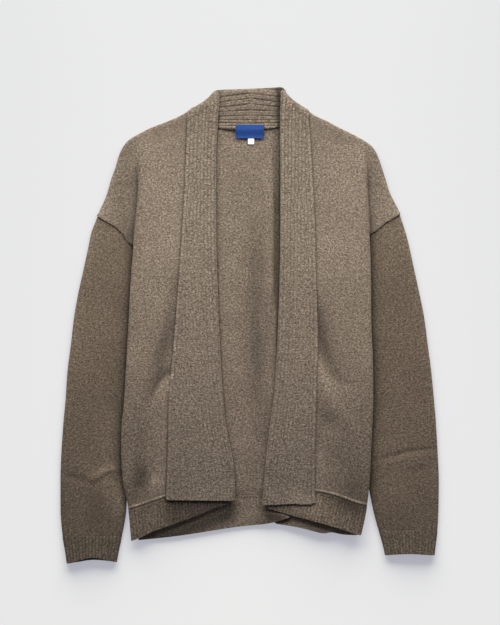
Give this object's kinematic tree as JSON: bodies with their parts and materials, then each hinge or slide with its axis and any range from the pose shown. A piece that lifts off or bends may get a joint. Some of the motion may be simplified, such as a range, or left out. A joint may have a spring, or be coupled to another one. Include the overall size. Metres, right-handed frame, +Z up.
{
  "type": "haori cardigan",
  "caption": "Open-front felted wool cardigan laid flat, with a ribbed collar band turned back along both fronts, dropped shoulders, long sleeves, ribbed cuffs and hem.",
  "frame": {"origin": "middle of the laid-out garment's outline, on the surface that it lies on", "axes": "+Y from hem to neck, +X towards the wearer's left sleeve, +Z up from the surface, out of the front"},
  "size_m": [0.6059, 0.7597, 0.0155],
  "materials": {
    "jersey": "heathered taupe felted wool jersey, soft nap, matt",
    "jersey_sleeve": "heathered taupe felted wool jersey, soft nap, matt, a shade deeper where it lies lower",
    "rib_band": "heathered taupe felted wool rib, matt",
    "rib_trim": "heathered taupe wool rib, matt, deeper in the grooves",
    "label": "blank blue woven tape, slight sheen",
    "size_tab": "blank white woven tape"
  },
  "bodies": {
    "root": {"back_panel": "jersey", "back_hem": "rib_trim", "front_right": "jersey", "front_left": "jersey", "front_hem_right": "rib_trim", "front_hem_left": "rib_trim", "sleeve_right": "jersey_sleeve", "sleeve_left": "jersey_sleeve", "cuff_right": "rib_trim", "cuff_left": "rib_trim", "collar_band_right": "rib_band", "collar_band_left": "rib_band", "neck_label": "label", "size_tab": "size_tab"}
  },
  "joints": []
}
